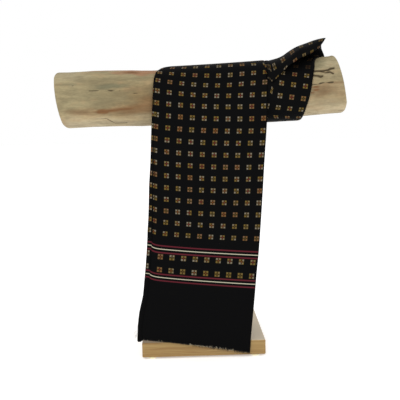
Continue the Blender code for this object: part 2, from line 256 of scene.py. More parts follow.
def front_row(along, fold_x, scale, left_x, strip, left, middle, right, column):
    """Stations of one row of the hanging front, and its layers' edges."""
    x = (fold_x - scale * LENGTHS) * MM
    edge_back = (fold_x - left_x) / scale
    edge_front = (fold_x - left_x - strip) / scale
    bend = np.polyfit((0, FULL_WIDE / 2, FULL_WIDE), (right, middle, left), 2)
    level = np.polyval(bend, LENGTHS)
    rise = np.interp(along, *zip(*EDGE_RISE))
    level += rise * np.exp(-np.clip(edge_front - LENGTHS, 0, None) / EDGE_RISE_REACH)
    level += np.interp(along, *zip(*FOLD_RISE)) * bump(LENGTHS, FOLD_RISE_AT, FOLD_RISE_HALF)
    wind = level * MM
    up = np.full_like(x, np.interp(along, OVER_TOP, (FRONT_UP, FRONT_UP_ON_TOP)))
    return along, np.stack([x, wind, up], axis=-1), (edge_front, edge_back, column)


def even_row(along, angle, left_x, right_x, up, sag):
    """Stations spread evenly between a left and a right edge round the log."""
    share = LENGTHS / FULL_WIDE
    x = (right_x + (left_x - right_x) * share) * MM
    wind = np.full_like(x, radians(angle) * WIND_RADIUS)
    height = (up + sag * (1 - share) ** 2) * MM
    return along, np.stack([x, wind, height], axis=-1), (*EDGES, 0)


def wrap_row(along, level, fold_x, fourth_x, fourth_rise, squeeze, left_x, up, turned):
    """Stations of one row at the right of the front, placed by its motif columns."""
    second, third, fourth = (column - turned
                             for column in (SECOND_COLUMN, THIRD_COLUMN, FOURTH_COLUMN))
    half = HALF_MOTIF + MOTIF_MARGIN
    flat = third + FLAT_PAST_THIRD
    past, past_x = PAST_FOURTH
    knots = (0, second, flat, fourth - half, fourth + half, fourth + past, FULL_WIDE)
    places = (fold_x, fold_x - second, fold_x - flat, fourth_x + half * squeeze,
              fourth_x - half * squeeze, fourth_x - past_x, left_x)
    x = np.interp(LENGTHS, knots, places) * MM
    rise = WRAP_LEAN * np.minimum(LENGTHS - second, LEAN_REACH)
    rise += fourth_rise * np.interp(LENGTHS, knots, (0, 0, 0, 0.75, 1, 1, 1))
    nominal = WIND_RADIUS / (LOG_RADIUS + INNER_UP)
    wind = ONCE_ROUND + (level + rise) * MM * nominal
    height = np.full_like(x, up * MM)
    return along, np.stack([x, wind, height], axis=-1), (*EDGES, WRAP_FOLD + turned)


def collar_row(along, column, points):
    """Stations of one collar row: true length from the fold, the rest gathered."""
    x, angle, up = np.array(points, float).T
    table = np.stack([x * MM, ONCE_ROUND + np.radians(angle) * WIND_RADIUS, up * MM], axis=-1)
    steps = np.linalg.norm(np.diff(place(*table.T), axis=0), axis=1) / MM
    reach = np.concatenate([[0], np.cumsum(steps)])
    true = reach[-3]                    # the last two steps take up the rest
    reach[-2:] = true + (FULL_WIDE - true) * np.array([0.5, 1])
    return along, curve(reach, table, LENGTHS), (*EDGES, column)


def tail_row(along, start, follow, left_x, right_x, fold, pleat):
    """Stations of one tail row with uneven folds and pleats; it may follow the log's axis."""
    share = 1 - LENGTHS / FULL_WIDE
    x = (left_x + (right_x - left_x) * share) * MM
    wind = start + follow * axis_height(x)
    wave = 0.5 - 0.5 * np.cos(2 * pi * TAIL_FOLDS * share)
    swell = 1 + 0.25 * np.sin(5.1 * share + 0.6)
    small = 0.5 - 0.5 * np.cos(2 * pi * TAIL_PLEATS * share + 1.3 * np.sin(4 * share))
    height = TAIL_UP + (fold * wave * swell + pleat * small) * MM
    return along, np.stack([x, wind, height], axis=-1), (*EDGES, TAIL_FOLD_LINE)


def key_rows():
    """Every key row of the strip, in order along it."""
    rows = []
    for make_row, table in ((front_row, FRONT_ROWS), (even_row, TURN_ROWS),
                            (wrap_row, WRAP_ROWS), (collar_row, COLLAR_ROWS)):
        rows += [make_row(*row) for row in table]
    rows += [tail_row(along, ONCE_ROUND + radians(angle) * WIND_RADIUS, 0, *rest)
             for along, angle, *rest in TAIL_ON_LOG]
    rows += [tail_row(along, HANG_BEHIND - height * MM, 1, *rest)
             for along, height, *rest in TAIL_HANGING]
    return rows


def row_places():
    """Distances along the strip, closer together in the collar."""
    stretches = ((0, COLLAR_FROM, ROW_STEP), (COLLAR_FROM, COLLAR_TO, COLLAR_STEP),
                 (COLLAR_TO, STRIP_END, ROW_STEP))
    parts = [np.linspace(start, end, round((end - start) / step), endpoint=False)
             for start, end, step in stretches]
    return np.concatenate([*parts, [STRIP_END]])


# ---- Small shapes of the cloth ----
def bump(value, middle, reach):
    """Soft bump, 1 at the middle and 0 beyond its reach."""
    t = np.clip(1 - np.abs(value - middle) / reach, 0, 1)
    return t * t * (3 - 2 * t)


# Soft folds: middle along the strip and reach, mm. Waves: height in mm, then turn per mm across
# and along, and start. Single creases: height, middle across and reach, mm.
HANGING = (150, 210)
HANGING_WAVES = ((0.35, 0.052, 0.006, 0.7), (0.25, 0.021, -0.011, 0))
TURNED = (585, 85)
TURNED_WAVE = (0.9, 0.16, 0.02)
GATHERED = (755, 70)
GATHERED_CREASES = ((3, 54, 12), (1, 82, 10))
ROLLED = (838, 26)
ROLLED_WAVE = (0.8, 0.12, 0.9)
ROLLED_ACROSS = (40, 60)
# How much higher than the front layer the back one hangs, mm, at places along the strip
LAYER_LAG = ((0, 0), (60, 0.5), (110, 0.8), (155, 1.6), (181, 1.4), (300, 0))
LAG_FULL = 60               # this far from the fold, mm


def creases(along, across):
    """Extra height in mm from soft folds, at places along and across the strip."""
    height = np.zeros(np.broadcast(along, across).shape)
    for high, over, onward, start in HANGING_WAVES:
        wave = np.sin(across * over + along * onward + start)
        height += high * bump(along, *HANGING) * wave
    high, over, onward = TURNED_WAVE
    wave = 0.5 + 0.5 * np.sin(across * over + along * onward)
    height += high * bump(along, *TURNED) * wave
    for high, middle, reach in GATHERED_CREASES:
        height += high * bump(along, *GATHERED) * bump(across, middle, reach)
    high, over, start = ROLLED_WAVE
    wave = np.sin(across * over + start)
    height += high * bump(along, *ROLLED) * wave * bump(across, *ROLLED_ACROSS)
    return height * MM


def back_layer_lag(along, across):
    """The back layer hangs a little higher than the front one near the border, mm."""
    lag = np.interp(along, *zip(*LAYER_LAG))
    return lag[:, None] * np.clip(across / LAG_FULL, 0, 1)


def strip_grid():
    """Middle surface of the folded strip on a fine grid, with edges and fold line."""
    knots, table, edges = map(np.array, zip(*key_rows()))
    along = row_places()
    stations = curve(knots, table, along)
    limits = np.array([np.interp(along, knots, edges[:, i]) for i in range(3)]).T
    return along, stations, limits


def make_cloth(surface):
    """The whole scarf as one folded sheet with real thickness."""
    along, stations, limits = strip_grid()
    shares = np.linspace(0, 1, round(FULL_WIDE / COLUMN_STEP) + 1)
    sheets = []
    marks = []
    for side, limit in ((-1, 1), (1, 0)):
        across = limits[:, limit, None] * shares
        x, wind, up = (np.array([np.interp(at, LENGTHS, row[:, i])
                                 for at, row in zip(across, stations)]) for i in range(3))
        spots = place(x, wind, up + creases(along[:, None], across))
        outward = np.cross(*np.gradient(spots, axis=(0, 1)))
        outward /= np.maximum(np.linalg.norm(outward, axis=-1, keepdims=True), 1e-9)
        lift = PLY_APART * np.sqrt(np.clip(across / FOLD_OPENS, 0, 1))
        sheets.append(spots + side * outward * lift[..., None])
        lag = back_layer_lag(along, across) if side < 0 else 0
        u = limits[:, 2, None] + side * across
        v = along[:, None] - lag + np.zeros_like(across)
        marks.append(np.stack([u, v], axis=-1))
    corner_curl(sheets[0], along, shares)
    spots = np.concatenate([sheets[0][:, ::-1], sheets[1][:, 1:]], axis=1)
    marks = np.concatenate([marks[0][:, ::-1], marks[1][:, 1:]], axis=1)
    cloth = grid_piece("scarf", spots, surface, marks * MM)
    shell = cloth.modifiers.new("thickness", "SOLIDIFY")
    shell.thickness = CLOTH_THICK
    shell.offset = 0
    solid = cloth.evaluated_get(bpy.context.evaluated_depsgraph_get())
    thick = bpy.data.meshes.new_from_object(solid)
    cloth.modifiers.clear()
    cloth.data = thick
    return cloth, spots


CURL_FROM = 0.945           # shares of the back layer's width
CURL_TO = 0.975
CURL_RIM = 0.985
CURL_ALONG = 16
CURL_TIP = 5
CURL_SHIFT = (-0.002, -0.0016, -0.0035)
RIM_SHIFT = 0.0012
TIP_RISE = 0.0016


def corner_curl(sheet, along, shares):
    """Rolls the back layer's loose lower corner into a small knob."""
    low = bump(along, 0, CURL_ALONG)[:, None]
    side = np.clip((shares - CURL_FROM) / (CURL_TO - CURL_FROM), 0, 1)
    side = side * side * (3 - 2 * side)
    outer = np.clip((shares - CURL_RIM) / (1 - CURL_RIM), 0, 1)
    sheet += (low * side)[..., None] * np.array(CURL_SHIFT)
    sheet[..., 0] += RIM_SHIFT * low * outer
    sheet[..., 2] += TIP_RISE * bump(along, 0, CURL_TIP)[:, None] * outer


def add_object(name, data):
    """New object in the scene."""
    item = bpy.data.objects.new(name, data)
    bpy.context.scene.collection.objects.link(item)
    return item


def add_mesh(name, verts, faces, surfaces, slots=None):
    """New smooth mesh object with its materials; slots are those of its faces."""
    mesh = bpy.data.meshes.new(name)
    mesh.from_pydata(verts, [], faces)
    for surface in surfaces:
        mesh.materials.append(surface)
    if slots:
        mesh.polygons.foreach_set("material_index", slots)
    mesh.shade_smooth()
    return add_object(name, mesh)


def grid_piece(name, spots, surface, marks):
    """Object from a grid of points, with a UV map in metres of cloth."""
    rows, columns = spots.shape[:2]
    index = np.arange(rows * columns).reshape(rows, columns)
    quads = np.stack([index[:-1, :-1], index[:-1, 1:], index[1:, 1:], index[1:, :-1]], axis=-1)
    quads = quads.reshape(-1, 4)
    item = add_mesh(name, spots.reshape(-1, 3).tolist(), quads.tolist(), (surface,))
    layer = item.data.uv_layers.new(name="cloth")
    flat = marks.reshape(-1, 2)[quads.reshape(-1)]
    layer.data.foreach_set("uv", flat.astype(np.float32).reshape(-1))
    return item


# ---- Fringe ----
STRAND_SIDES = 3
THREAD_STOPS = (0, 1 / 3, 2 / 3, 1)     # points of a thread, as shares of its length
THREAD_ABOVE = 0.0028       # threads start up to this far above the cut end
THREAD_AHEAD = 0.0006       # and this far in front of the cloth's middle
PALE_BELOW = 0.35           # pale threads reach this share of the black ones' drop
BLACK_RADIUS = 0.42 * MM
PALE_RADIUS = 0.28 * MM
THREAD_LEAN = 1.3
THREAD_TAPER = 0.55
THREAD_LEAST = 0.35         # share of the longest ones' drop
# Longest threads in mm, and the part of pale ones, at shares of the edge from its start
FRONT_LONG = ((0, 0.1, 0.3, 0.5, 0.58, 0.68, 1), (2.4, 3.2, 3.8, 3.4, 1.6, 0.6, 0.4))
FRONT_PALE = ((0, 0.12, 0.16, 0.54, 0.58, 1), (0.05, 0.05, 0.5, 0.5, 0.03, 0.03))
TAIL_LONG = ((0, 1), (3, 3))
TAIL_PALE = ((0, 1), (0.4, 0.4))
# Wisps at the back layer's lower corner, mm: start above it, reach outward, drop
WISPS = ((17, 8.5, 9), (15, 5.5, 5.5), (12, 5, 7), (10, 3.2, 4.5), (8, 3.4, 3), (13, 3, 6))
WISP_STEPS = 5
# Threads along the front layer's end, the back layer's and each of the tail's
FRONT_COUNT, BACK_COUNT, TAIL_COUNT = 190, 150, 130
THREAD_TILT = 0.03          # forward at the front and backward at the tail


def strand(points, radius):
    """Rings of a thin tapering thread along points."""
    rings = []
    for i, point in enumerate(points):
        ahead = points[min(i + 1, len(points) - 1)] - points[max(i - 1, 0)]
        turn = ahead.to_track_quat("Z", "Y")
        size = radius * (1 - THREAD_TAPER * i / (len(points) - 1))
        for k in range(STRAND_SIDES):
            a = 2 * pi * k / STRAND_SIDES
            rings.append(point + turn @ Vector((cos(a) * size, sin(a) * size, 0)))
    return rings


def make_threads(name, threads, surfaces):
    """One mesh of many threads; each is (points, radius, material index)."""
    verts = []
    faces = []
    slots = []
    for points, radius, slot in threads:
        first = len(verts)
        verts += map(tuple, strand(points, radius))
        last = len(verts) - STRAND_SIDES
        for ring in range(first, last, STRAND_SIDES):
            for k in range(STRAND_SIDES):
                a = ring + k
                b = ring + (k + 1) % STRAND_SIDES
                faces.append((a, b, b + STRAND_SIDES, a + STRAND_SIDES))
        faces.append(tuple(range(first, first + STRAND_SIDES))[::-1])
        faces.append(tuple(range(last, last + STRAND_SIDES)))
        slots += [slot] * (len(faces) - len(slots))
    return add_mesh(name, verts, faces, surfaces, slots)


def even_random(seed, i):
    """Repeatable value from 0 to 1 for a thread."""
    cell = noise.cell(Vector((seed * 7.31 + 0.37, i * 7.31 + 0.37, 0.5)))
    return 0.5 + 0.5 * cell


def edge_threads(edge, count, seed, long, pale, toward, ahead):
    """Loose threads along a cut end, out of the weave a little above it and ahead of it."""
    threads = []
    for i in range(count):
        share = (i + even_random(seed, i)) / count
        at = share * (len(edge) - 1)
        k = min(int(at), len(edge) - 2)
        above = THREAD_ABOVE * even_random(seed + 4, i)
        start = Vector(edge[k]).lerp(Vector(edge[k + 1]), at - k) + Vector((0, ahead, above))
        lean = (even_random(seed + 2, i) - 0.5) * THREAD_LEAN
        slot = int(even_random(seed + 3, i) < np.interp(share, *pale))
        drop = THREAD_LEAST + (1 - THREAD_LEAST) * even_random(seed + 1, i)
        below = np.interp(share, *long) * MM * drop
        length = above + (below * PALE_BELOW if slot else below)
        points = [start + Vector((lean * t * t, toward * t, -t)) * length for t in THREAD_STOPS]
        threads.append((points, PALE_RADIUS if slot else BLACK_RADIUS, slot))
    return threads


def wisps(corner):
    """Pale threads that stand out from the back layer's lower corner."""
    threads = []
    for i, (rise, out, down) in enumerate(WISPS):
        start = corner + Vector((0.6, -0.7, rise)) * MM
        points = []
        for k in range(WISP_STEPS + 1):
            t = k / WISP_STEPS
            bend = 0.25 * sin(pi * t + i)
            points.append(start + Vector((bend - out * t, 0, bend - down * t * t)) * MM)
        threads.append((points, PALE_RADIUS, 2))
    return threads


# ---- Materials ----
class Graph:
    """Material whose nodes are made by short calls."""

    def __init__(self, name):
        self.material = bpy.data.materials.new(name)
        self.material.use_nodes = True
        self.tree = self.material.node_tree
        self.shader = self.tree.nodes["Principled BSDF"]

    def finished(self, colour, roughness, specular, constants=()):
        """The material with its colour and the shader's constants."""
        self.feed(self.shader.inputs["Base Color"], colour)
        for name, value in (("Roughness", roughness), ("Specular IOR Level", specular),
                            *constants):
            self.shader.inputs[name].default_value = value
        return self.material

    def feed(self, socket, value):
        """Links a socket or sets its value."""
        if isinstance(value, bpy.types.NodeSocket):
            self.tree.links.new(value, socket)
        elif socket.type == "RGBA" and len(value) == 3:
            socket.default_value = (*value, 1)
        else:
            socket.default_value = value

    def node(self, kind, inputs=(), **settings):
        """New node with its settings; inputs pairs names or numbers with values."""
        made = self.tree.nodes.new(kind)
        for name, value in settings.items():
            setattr(made, name, value)
        for name, value in inputs:
            self.feed(made.inputs[name], value)
        return made

    def math(self, operation, *values):
        """Result of one step of arithmetic."""
        return self.node("ShaderNodeMath", enumerate(values), operation=operation).outputs[0]

    plus = partialmethod(math, "ADD")
    minus = partialmethod(math, "SUBTRACT")
    times = partialmethod(math, "MULTIPLY")
    scaled = partialmethod(math, "MULTIPLY_ADD")    # value, factor, offset
    larger = partialmethod(math, "MAXIMUM")
    size = partialmethod(math, "ABSOLUTE")

    def soft(self, value, start, end, full=1):
        """0 at start, full at end and smooth between; start may be the larger."""
        inputs = (("Value", value), ("From Min", start), ("From Max", end), ("To Max", full))
        made = self.node("ShaderNodeMapRange", inputs, interpolation_type="SMOOTHSTEP")
        return made.outputs["Result"]

    def mix(self, share, first, second, blend="MIX"):
        """Colour between first and second."""
        inputs = (("Factor", share), (6, first), (7, second))
        return self.node("ShaderNodeMix", inputs, data_type="RGBA", blend_type=blend).outputs[2]

    def layers(self, colour, *layers):
        """Tones laid over a colour one after another, each by its share."""
        for share, tone in layers:
            colour = self.mix(share, colour, tone)
        return colour

    def shaded(self, colour, value):
        """Colour made darker by a value."""
        return self.mix(1, colour, self.join(value, value, value), "MULTIPLY")

    def split(self, vector):
        """X, Y and Z of a vector."""
        return self.node("ShaderNodeSeparateXYZ", [(0, vector)]).outputs[:3]

    def join(self, *parts):
        """Vector from three values."""
        return self.node("ShaderNodeCombineXYZ", enumerate(parts)).outputs[0]

    def noise(self, vector, scale, detail=3, roughness=0.55):
        """Noise value from 0 to 1."""
        inputs = (("Vector", vector), ("Scale", scale), ("Detail", detail),
                  ("Roughness", roughness))
        return self.node("ShaderNodeTexNoise", inputs).outputs["Fac"]

    def streaks(self, vector, scales, detail=3, roughness=0.5):
        """Noise with its own scale on each axis."""
        inputs = ((0, vector), (1, scales))
        scaled = self.node("ShaderNodeVectorMath", inputs, operation="MULTIPLY")
        return self.noise(scaled.outputs[0], 1, detail, roughness)

    def random(self, vector):
        """Repeatable random value and three-part vector of a cell."""
        made = self.node("ShaderNodeTexWhiteNoise", [("Vector", vector)], noise_dimensions="2D")
        return made.outputs["Value"], self.split(made.outputs["Color"])

    def place(self, kind="Object"):
        """Place in the object's own space, or its Normal."""
        return self.node("ShaderNodeTexCoord").outputs[kind]

    def paint(self, name):
        """Three values kept at the mesh's points."""
        made = self.node("ShaderNodeAttribute", attribute_name=name)
        return self.split(made.outputs["Color"])

    def relief(self, height, strength, distance):
        """Bump on the shader's normal."""
        inputs = (("Strength", strength), ("Distance", distance), ("Height", height))
        bumps = self.node("ShaderNodeBump", inputs)
        self.tree.links.new(bumps.outputs["Normal"], self.shader.inputs["Normal"])


BLACK_THREAD = (0.012, 0.011, 0.01)
PALE_THREAD = (0.68, 0.6, 0.42)
GREY_THREAD = (0.25, 0.25, 0.24)
SILK_BLACK = (0.0036, 0.0036, 0.0038)
CREAM = (0.172, 0.15, 0.11)
GOLD = (0.14, 0.094, 0.024)
ROSE = (0.155, 0.07, 0.032)
RUST = (0.098, 0.032, 0.009)
MAROON = (0.082, 0.012, 0.01)
OLIVE = (0.05, 0.036, 0.01)
LINE_RED = (0.098, 0.015, 0.022)
LINE_CREAM = (0.46, 0.44, 0.32)
BROWN_SHADE = (0.022, 0.013, 0.005)
FRAME_GOLD = (0.085, 0.055, 0.016)
# Figures, mm
EDGE_SOFT = 0.2
FRAME_INSIDE = (1.2, 0.7)
CROSS_HALF = (0.8, 1.3)
HEART_REACH = (2.3, 1.5)
CREAM_LINE_HALF = (0.85, 0.45)
RED_LINE_HALF = (1.4, 0.7)
TWILL_STEP = 0.8
# Along the strip, mm: where painted shade starts to darken the figures in the hollow under the
# collar, where the roll starts and ends
HOLLOW_SHADE_FROM = (744, 766)
ROLL_FROM = (808, 820)
ROLL_TO = (900, 880)
HOLLOW_SHADE_SHARE = 0.9
ROLL_DIM_SHARE = 0.35


def motif(net, x, y, half):
    """Masks of one figure from its own coordinates in mm: body, frame, corners, heart."""
    ax = net.size(x)
    ay = net.size(y)
    far = net.larger(ax, ay)
    near = net.math("MINIMUM", ax, ay)
    body = net.soft(far, half + EDGE_SOFT, half - EDGE_SOFT)
    frame_from, frame_to = (half - inside for inside in FRAME_INSIDE)
    ring = net.times(body, net.soft(far, frame_from, frame_to))
    corners = net.times(body, net.soft(near, *CROSS_HALF))
    heart = net.soft(net.plus(ax, ay), *HEART_REACH)
    return body, ring, corners, heart


def figure_masks(net, u, end, across, upward):
    """Masks of all the figures, in the field and in the borders."""
    x, y = (net.math("WRAP", value, PITCH / 2, -PITCH / 2) for value in (across, upward))
    in_field = net.math("GREATER_THAN", end, FIRST_ROW - PITCH / 3)
    parts = [net.times(part, in_field) for part in motif(net, x, y, HALF_MOTIF)]
    away = net.minus(u, BORDER_COLUMN)
    x = net.math("WRAP", away, BORDER_PITCH / 2, -BORDER_PITCH / 2)
    for row in BORDER_ROWS:
        figures = motif(net, x, net.minus(end, row), HALF_IN_BORDER)
        parts = [net.larger(a, b) for a, b in zip(parts, figures)]
    return parts


def make_silk():
    """Black twill silk with the small figures and the striped border, and painted shade darkening
    the figures in the hollow under the collar.
    """
    net = Graph("silk")
    u, v, _ = net.split(net.node("ShaderNodeUVMap", uv_map="cloth").outputs[0])
    u = net.times(u, 1 / MM)
    v = net.times(v, 1 / MM)
    end = net.math("MINIMUM", v, net.minus(STRIP_END, v))
    across = net.minus(u, FIELD_COLUMN)
    upward = net.minus(end, FIRST_ROW)
    masks = figure_masks(net, u, end, across, upward)

    def cell(rounding, size):
        """Number of the cell across and along."""
        return net.join(*(net.math(rounding, net.math("DIVIDE", value, size))
                          for value in (across, upward)))

    _, (red, green, blue) = net.random(cell("ROUND", PITCH))
    tone, _ = net.random(cell("FLOOR", PITCH / 2))
    light = net.layers(
        CREAM, (net.soft(tone, 0.25, 0.75), GOLD), (net.soft(red, 0.72, 0.86, 0.75), ROSE))
    warm = net.layers(
        RUST, (net.soft(green, 0.35, 0.75), MAROON), (net.soft(blue, 0.62, 0.72), OLIVE))

    creams = reds = 0
    for level in CREAM_LINES:
        away = net.size(net.minus(end, level))
        beside = net.size(net.minus(away, LINE_STEP))
        creams = net.larger(creams, net.soft(away, *CREAM_LINE_HALF))
        reds = net.larger(reds, net.soft(beside, *RED_LINE_HALF))

    # Painted shade: the figures in the hollow under the collar are darkened as if shadowed by it;
    # those on the roll are dimmed too
    hollow_shade = net.times(net.soft(v, *HOLLOW_SHADE_FROM), net.soft(v, *ROLL_FROM[::-1]))
    rolled = net.times(net.soft(v, *ROLL_FROM), net.soft(v, *ROLL_TO))
    kept = net.scaled(hollow_shade, -HOLLOW_SHADE_SHARE, net.scaled(rolled, -ROLL_DIM_SHARE, 1))
    tones = (BROWN_SHADE, FRAME_GOLD, light, warm)
    figures = [(net.times(mask, kept), tone) for mask, tone in zip(masks, tones)]
    colour = net.layers(SILK_BLACK, *figures, (reds, LINE_RED), (creams, LINE_CREAM))
    twill = net.math("SINE", net.times(net.plus(u, v), 2 * pi / TWILL_STEP))
    colour = net.shaded(colour, net.scaled(twill, 0.07, 0.95))
    net.relief(twill, 0.05, 0.00006)
    return net.finished(colour, 0.5, 0.01)


def make_thread(name, colour):
    """Loose silk thread, uneven along its length."""
    net = Graph(name)
    uneven = net.noise(net.place(), 900, 2)
    dark = tuple(c * 0.6 for c in colour)
    return net.finished(net.mix(uneven, dark, colour), 0.6, 0.2)


# ---- The log ----
LOG_SIDES = 180
LOG_RINGS = 270
RIM_RINGS = 4
SAW_RINGS = 9
CAP_RINGS = 18
SHARP_ANGLE = radians(50)
# Stains: x, angle, half length along, half height in degrees, strength
BROWN_STAINS = (
    (-151, -25.5, 11, 5.4, 1.8), (-160, -25.2, 14, 3.6, 0.8), (-137, -23.8, 17, 4.2, 1.1),
    (-120, -20.5, 24, 4, 0.95), (-104, -19, 26, 6, 0.65), (-85, -15, 26, 5, 0.6),
    (-78, -8, 24, 11, 0.5), (-104, -25, 42, 8, 0.62), (-106, 66, 14, 5, 1.1),
    (-182, -25, 28, 8, 0.55), (-120, -35, 16, 2.6, 0.25), (194, -10.5, 30, 13, 0.5),
    (196, -12, 18, 2.6, 0.6), (201, 3.6, 24, 2.8, 0.5), (177, -1, 6, 2.2, 1.2),
    (178, -7, 6, 2.2, 1.2), (173, -12, 4, 2.4, 1.1),
)
RED_STAINS = (
    (-140, 86, 34, 14, 1), (-108, 76, 30, 18, 1.3), (-85, 72, 26, 20, 1.4),
)
GREY_STAINS = (
    (-134, 27, 36, 6, 1.1), (-126, 24.5, 14, 3, 1.2), (-165, 28, 16, 3, 0.4),
    (-204, 33, 14, 2.5, 0.6), (183, 50, 12, 14, 0.6), (-150, 5, 50, 16, 0.35),
    (-190, -8, 24, 9, 0.25), (-110, 45, 40, 9, 0.35), (200, -40, 26, 6, 0.15),
)
PALE_PATCHES = (
    (-150, -52, 70, 15, 0.7), (190, -48, 45, 20, 0.7), (205, 45, 26, 22, 0.55),
    (-200, -45, 30, 16, 0.5), (-92, -40, 24, 9, 0.4), (-208, 58, 30, 22, 0.6),
)
# Dark marks: half width in mm, depth in mm, then (x, angle) along each
DARK_MARKS = (
    (1.6, 2, ((170, 32.5), (187.3, 31.1), (198.3, 31.6), (202.3, 34.3), (208, 34.2))),
    (1.3, 1.8, ((187.2, 30.2), (193.6, 26), (200.9, 26.9), (205.8, 22.8))),
    (1.6, 2, ((170, 24), (181.5, 21.3), (185.9, 18.5), (188.7, 19.6))),
    (0.8, 0.9, ((-154.4, -42.4), (-145.2, -42.9), (-137.7, -53.7), (-133.1, -60.5),
                (-115.1, -59.4))),
    (0.6, 0.5, ((-170, 18.4), (-154, 17))),
    (0.6, 0.5, ((172, 4), (188, 5.4), (205, 5))),
    (0.6, 0.5, ((-142, 17.4), (-129.6, 17))),
    (0.5, 0.4, ((-125, 16), (-115.5, 14.8))),
    (0.6, 0.5, ((-105, 11), (-94, 9.3))),
    (0.4, 0.3, ((-204, 29), (-194, 29.4))),
    (0.4, 0.3, ((208.4, -65), (221, -67))),
    (0.4, 0.3, ((173.7, -39.4), (180, -38.8))),
    (0.7, 1.4, ((-215, 140), (-170, 143), (-120, 139), (-60, 141))),
    (0.7, 1.4, ((215, 205), (150, 208), (100, 204))),
    (0.6, 1.2, ((-218, 232), (-160, 229), (-90, 233))),
    (0.6, 1, ((216, 118), (190, 121), (160, 119))),
)
# Knots: x, angle, radius in mm, swelling in mm
KNOTS = ((-151, -25.5, 6, -0.5), (-60, 178, 8, 0.6), (120, 232, 7, 0.5),
         (-185, 215, 6, 0.5), (-120, 120, 5, 0.4), (205, 170, 6, 0.4))

# Swelling of the log's top and underside, mm, at places along it
TOP_LINE = ((-200, 0), (-165, 1.2), (-146, 1.2), (-128, 0.8), (-105, 0),
            (-91, -0.9), (-73, -1.8), (100, -1.8), (150, -0.4), (190, 0.3), (206, 0.5))
LOW_LINE = ((-205, 0), (-170, -1.1), (-125, -1.1), (-95, 0))
# Shift of the sawn ends along the log, mm, at shares of the radius above its axis
LEFT_SAW = ((-1, 6.5), (-0.92, 4), (-0.8, 2.4), (-0.5, 1.8), (0, 1.2), (0.5, 1.1),
            (0.8, 1.2), (0.93, 2.6), (1, 4))
RIGHT_SAW = ((-1, 1), (-0.9, 2.4), (-0.64, 3), (-0.46, 1.8), (-0.28, 0.8), (0, -0.2),
             (0.25, -1.1), (0.6, -2.2), (0.8, -2.6), (1, -2.8))

MM_PER_DEGREE = radians(1) * LOG_RADIUS / MM
KNOT_LONG = 1.4             # length of a knot to its height
CRACK_WANDER = 0.8          # how far a crack wanders, mm
PATCH_ROUGH = 0.55
BROAD_DENT = 0.15           # half the depth of the broad dents, mm
FINE_DENT = 0.06
SWELL_HALF = 75             # degrees that a swelling spans each way


def angle_gap(a, b):
    """Difference of two angles in degrees, from -180 to 180."""
    return (a - b + 180) % 360 - 180


def spread(places, x, angle, rough):
    """Sum of soft oval patches, their edges broken by a rough value."""
    total = np.zeros_like(x)
    for cx, ca, half_x, half_a, strength in places:
        away = ((x - cx) / half_x) ** 2 + (angle_gap(angle, ca) / half_a) ** 2
        away = np.sqrt(away) + rough * PATCH_ROUGH
        total = np.maximum(total, strength * np.clip(1.25 - away, 0, 1) ** 0.8)
    return np.clip(total, 0, 1)


def line_distance(x, angle, points):
    """Distance in mm from a broken line on the log's surface."""
    best = np.full_like(x, 99)
    for (x0, a0), (x1, a1) in zip(points, points[1:]):
        px = x - x0
        pa = angle_gap(angle, a0) * MM_PER_DEGREE
        dx = x1 - x0
        da = angle_gap(a1, a0) * MM_PER_DEGREE
        t = np.clip((px * dx + pa * da) / (dx * dx + da * da), 0, 1)
        best = np.minimum(best, np.hypot(px - t * dx, pa - t * da))
    return best


def wood_noise(x, angle, long, round_, seed):
    """Noise on the log's surface, from -1 to 1, drawn out along it."""
    turn = np.radians(angle)
    values = [noise.noise(Vector((a / long, cos(t) * round_ + seed, sin(t) * round_)))
              for a, t in zip(x.ravel(), turn.ravel())]
    return np.array(values).reshape(x.shape)


def log_points():
    """Grid of the log's points: place along it, angle, shrink and saw shear, rim to rim."""
    inner = LOG_HALF - SAW_ZONE
    stops = []
    for i in range(RIM_RINGS + 1):
        a = i * pi / 2 / RIM_RINGS
        stops.append((-LOG_HALF + RIM_ROUND * (1 - cos(a)), RIM_ROUND * (1 - sin(a)), 1))
    for i in range(1, SAW_RINGS):
        t = i / SAW_RINGS
        stops.append((-LOG_HALF + RIM_ROUND + (SAW_ZONE - RIM_ROUND) * t, 0, 1 - t))
    mirrored = [(-x, shrink, shear) for x, shrink, shear in reversed(stops)]
    middle = [(-inner + 2 * inner * i / LOG_RINGS, 0, 0) for i in range(LOG_RINGS + 1)]
    stops = np.array(stops + middle + mirrored)
    x, shrink, shear = (np.repeat(stops[:, i:i + 1], LOG_SIDES, axis=1) for i in range(3))
    angle = np.broadcast_to(np.arange(LOG_SIDES) * 360 / LOG_SIDES, x.shape)
    return x, angle, shrink, shear


